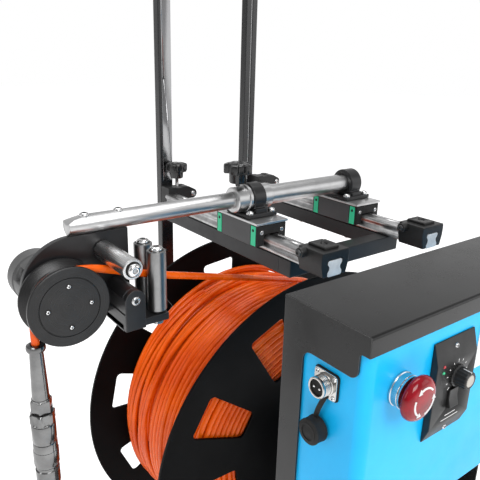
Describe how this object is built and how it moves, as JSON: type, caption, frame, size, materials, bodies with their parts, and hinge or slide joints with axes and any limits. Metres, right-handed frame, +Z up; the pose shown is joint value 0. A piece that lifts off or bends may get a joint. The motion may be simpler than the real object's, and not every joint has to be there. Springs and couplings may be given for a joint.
{
  "type": "motorised cable winch",
  "caption": "Floor-standing motorised cable winch: flanged drum of thick cable, level-wind arm with metering pulley and guide rollers, and a control box under a sheet hood.",
  "frame": {"origin": "on the floor, under the middle of the bounding box measured without the free cable and its end fitting", "axes": "+Z up; X along the arm, with the cable leaving at -X; Y along the drum axis and the rails, with the control panel facing -Y"},
  "size_m": [0.6054, 0.559, 0.925],
  "materials": {
    "black_paint": "satin",
    "black_anodised": "anodised",
    "bright_steel": "bright",
    "aluminium": "milled",
    "black_plastic": "matte",
    "rubber": "matte",
    "orange_jacket": "gloss",
    "blue_paint": "satin",
    "red_plastic": "gloss",
    "steel_grey": "dark"
  },
  "bodies": {
    "frame": {"base_frame": "black_paint", "upright_frame": "black_paint", "handle_grip": "rubber", "foot_left": "rubber", "foot_right": "rubber", "rail_frame": "black_paint", "rail_left": "bright_steel", "rail_right": "bright_steel", "rail_stop_left": "black_plastic", "rail_stop_right": "black_plastic", "clamp_block_left": "black_plastic", "clamp_block_right": "black_plastic", "front_bearing": "steel_grey", "rear_bearing": "steel_grey", "slip_ring": "black_plastic", "drive_belt": "rubber", "gear_motor": "aluminium", "hood": "black_paint", "control_box": "blue_paint", "box_rear_cover": "blue_paint", "estop_collar": "steel_grey", "speed_panel": "black_plastic", "power_connector": "bright_steel", "dust_cap": "rubber", "cable_run": "orange_jacket"},
    "drum": {"drum_flange_front": "black_paint", "drum_flange_rear": "black_paint", "drum_hub": "black_paint", "cable_winding": "orange_jacket", "drum_shaft": "bright_steel", "drum_belt_pulley": "steel_grey"},
    "motor_pulley": {"motor_belt_pulley": "steel_grey"},
    "level_wind": {"carriage_left": "steel_grey", "carriage_right": "steel_grey", "top_plate_left": "aluminium", "top_plate_right": "aluminium", "pillow_block_left": "black_anodised", "pillow_block_right": "black_anodised", "arm_tube": "bright_steel"},
    "arm": {"arm_bar": "bright_steel", "head_plate": "black_anodised", "encoder_housing": "black_anodised", "upper_roller_axle": "bright_steel", "roller_bracket": "black_anodised", "cable_lead": "orange_jacket", "cable_sleeve": "bright_steel", "cable_connector": "bright_steel"},
    "pulley": {"metering_pulley": "black_anodised", "pulley_axle": "bright_steel"},
    "upper_roller": {"upper_roller": "bright_steel"},
    "lower_roller": {"lower_roller": "black_anodised"},
    "guide_roller_front": {"guide_roller_front": "bright_steel"},
    "guide_roller_rear": {"guide_roller_rear": "bright_steel"},
    "arm_knob": {"arm_knob": "black_plastic"},
    "clamp_knob": {"clamp_knob": "black_plastic"},
    "estop_button": {"estop_button": "red_plastic"},
    "speed_knob": {"speed_knob": "black_plastic"},
    "rocker_switch": {"rocker_switch": "black_plastic"},
    "wheel_left": {"wheel_left": "rubber"},
    "wheel_right": {"wheel_right": "rubber"}
  },
  "joints": [
    {"name": "drum_spin", "type": "hinge", "parent": "frame", "child": "drum", "pos_m": [0.06, 0, 0.3], "axis": [0, 1, 0], "continuous": true},
    {"name": "motor_spin", "type": "hinge", "parent": "frame", "child": "motor_pulley", "pos_m": [0.06, -0.1, 0.105], "axis": [0, 1, 0], "continuous": true},
    {"name": "level_wind_slide", "type": "slide", "parent": "frame", "child": "level_wind", "axis": [0, 1, 0], "range_m": [-0.065, 0.147]},
    {"name": "arm_slide", "type": "slide", "parent": "level_wind", "child": "arm", "axis": [1, 0, 0], "range_m": [-0.06, 0]},
    {"name": "pulley_spin", "type": "hinge", "parent": "arm", "child": "pulley", "pos_m": [-0.2605, -0.006, 0.5775], "axis": [0, 1, 0], "continuous": true},
    {"name": "upper_roller_spin", "type": "hinge", "parent": "arm", "child": "upper_roller", "pos_m": [-0.212, -0.02, 0.616], "axis": [0, 1, 0], "continuous": true},
    {"name": "lower_roller_spin", "type": "hinge", "parent": "arm", "child": "lower_roller", "pos_m": [-0.201, -0.01, 0.5745], "axis": [0, 1, 0], "continuous": true},
    {"name": "guide_roller_front_spin", "type": "hinge", "parent": "arm", "child": "guide_roller_front", "pos_m": [-0.1695, -0.0205, 0.585], "axis": [0, 0, 1], "continuous": true},
    {"name": "guide_roller_rear_spin", "type": "hinge", "parent": "arm", "child": "guide_roller_rear", "pos_m": [-0.1695, 0.0085, 0.585], "axis": [0, 0, 1], "continuous": true},
    {"name": "arm_knob_turn", "type": "hinge", "parent": "level_wind", "child": "arm_knob", "pos_m": [-0.0425, 0.015, 0.675], "axis": [0, 0, 1], "range_deg": [0, 180]},
    {"name": "clamp_knob_turn", "type": "hinge", "parent": "frame", "child": "clamp_knob", "pos_m": [-0.0087, 0.2095, 0.645], "axis": [0, 0, 1], "range_deg": [0, 180]},
    {"name": "estop_push", "type": "slide", "parent": "frame", "child": "estop_button", "axis": [0, 1, 0], "range_m": [0, 0.004]},
    {"name": "speed_knob_turn", "type": "hinge", "parent": "frame", "child": "speed_knob", "pos_m": [-0.001, -0.265, 0.538], "axis": [0, 1, 0], "range_deg": [-135, 135]},
    {"name": "rocker_tilt", "type": "hinge", "parent": "frame", "child": "rocker_switch", "pos_m": [-0.004, -0.2622, 0.517], "axis": [1, 0, 0], "range_deg": [0, 14]},
    {"name": "wheel_left_spin", "type": "hinge", "parent": "frame", "child": "wheel_left", "pos_m": [-0.1565, 0.2295, 0.05], "axis": [1, 0, 0], "continuous": true},
    {"name": "wheel_right_spin", "type": "hinge", "parent": "frame", "child": "wheel_right", "pos_m": [0.2765, 0.2295, 0.05], "axis": [1, 0, 0], "continuous": true}
  ],
  "couplings": [
    {"joint": "motor_spin", "follows": "drum_spin", "ratio": 2.3953},
    {"joint": "pulley_spin", "follows": "drum_spin", "ratio": 6.04}
  ]
}
